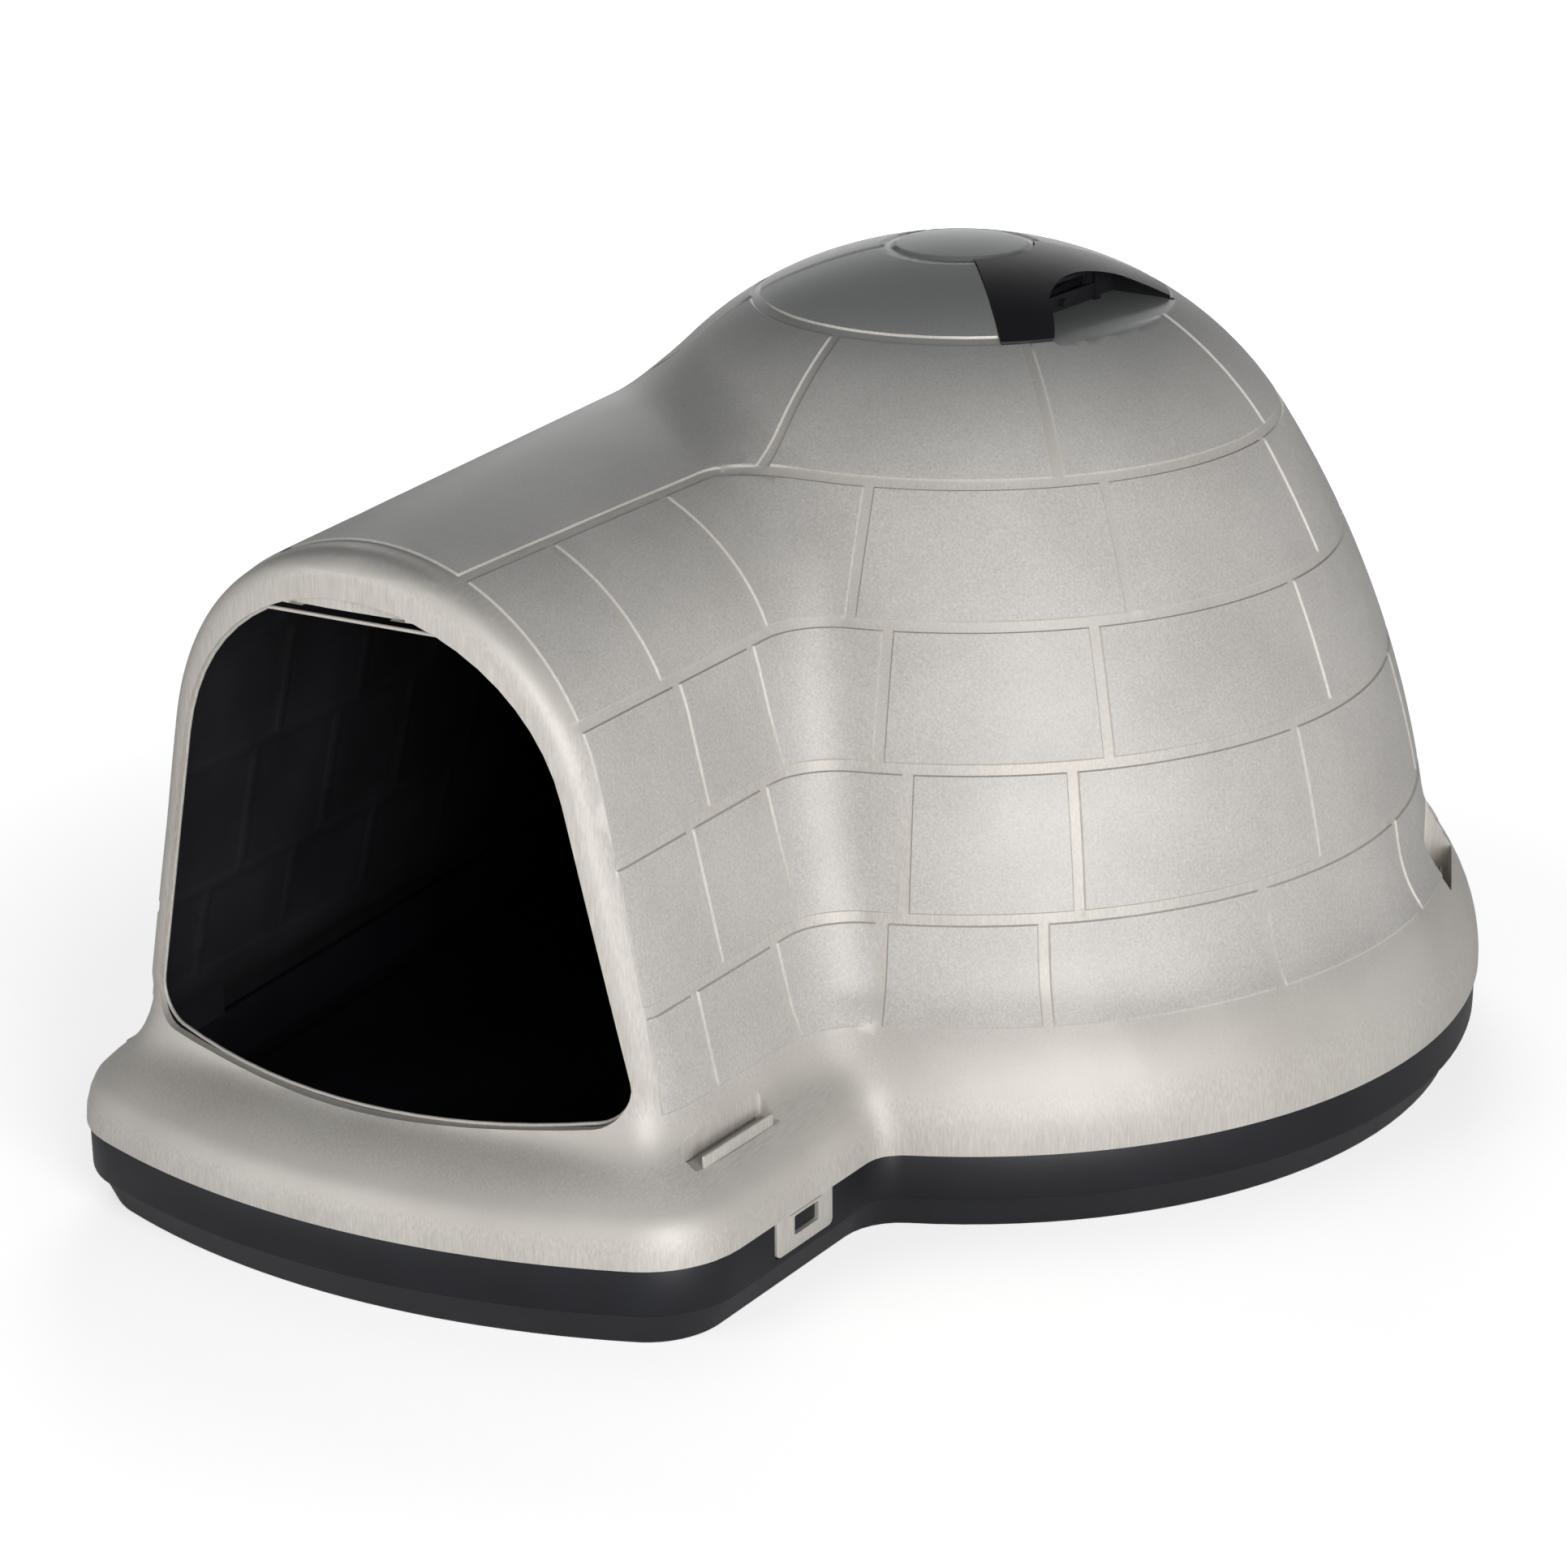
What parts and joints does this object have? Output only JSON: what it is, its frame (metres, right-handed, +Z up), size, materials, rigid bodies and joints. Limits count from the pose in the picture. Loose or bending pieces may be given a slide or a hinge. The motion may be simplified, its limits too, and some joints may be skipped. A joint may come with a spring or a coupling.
{
  "type": "dog house",
  "caption": "Igloo-shaped moulded dog house with a bowed porch doorway, a block-patterned dome, a vented roof hood and a base pan held by snap latches.",
  "frame": {"origin": "centre of the rectangle that the house covers on the ground, at ground level", "axes": "+Z up, the doorway faces -Y, the width runs along X"},
  "size_m": [0.868, 1.1298, 0.6525],
  "materials": {
    "shell_plastic": "rotomoulded structural foam, pearly taupe grey, finely textured blocks",
    "pan_plastic": "moulded, near-black blue, fine satin grain",
    "hood_plastic": "moulded, matte blue-black"
  },
  "bodies": {
    "base": {"base_pan": "pan_plastic"},
    "shell": {"upper_shell": "shell_plastic", "vent_hood": "hood_plastic", "vent_frame": "hood_plastic"},
    "shutter": {"vent_shutter": "hood_plastic"},
    "latch_front_right_body": {"latch_front_right": "shell_plastic"},
    "latch_front_left_body": {"latch_front_left": "shell_plastic"},
    "latch_rear_right_body": {"latch_rear_right": "shell_plastic"},
    "latch_rear_left_body": {"latch_rear_left": "shell_plastic"}
  },
  "joints": [
    {"name": "shell_lift", "type": "slide", "parent": "base", "child": "shell", "axis": [0, 0, 1], "range_m": [0, 0.18]},
    {"name": "latch_front_right_flex", "type": "hinge", "parent": "shell", "child": "latch_front_right_body", "pos_m": [0.12931, -0.37591, 0.066], "axis": [-0.1104, -0.9939, 0], "range_deg": [0, 12], "stiffness_Nm_per_rad": 6},
    {"name": "latch_front_left_flex", "type": "hinge", "parent": "shell", "child": "latch_front_left_body", "pos_m": [-0.4332, -0.376, 0.066], "axis": [0, 1, 0], "range_deg": [0, 12], "stiffness_Nm_per_rad": 6},
    {"name": "latch_rear_right_flex", "type": "hinge", "parent": "shell", "child": "latch_rear_right_body", "pos_m": [0.37394, 0.34689, 0.066], "axis": [0.5, -0.866, 0], "range_deg": [0, 12], "stiffness_Nm_per_rad": 6},
    {"name": "latch_rear_left_flex", "type": "hinge", "parent": "shell", "child": "latch_rear_left_body", "pos_m": [-0.37394, 0.34689, 0.066], "axis": [0.5, 0.866, 0], "range_deg": [0, 12], "stiffness_Nm_per_rad": 6},
    {"name": "vent_shutter_slide", "type": "slide", "parent": "shell", "child": "shutter", "axis": [0, 0, 1], "range_m": [0, 0.009]}
  ]
}
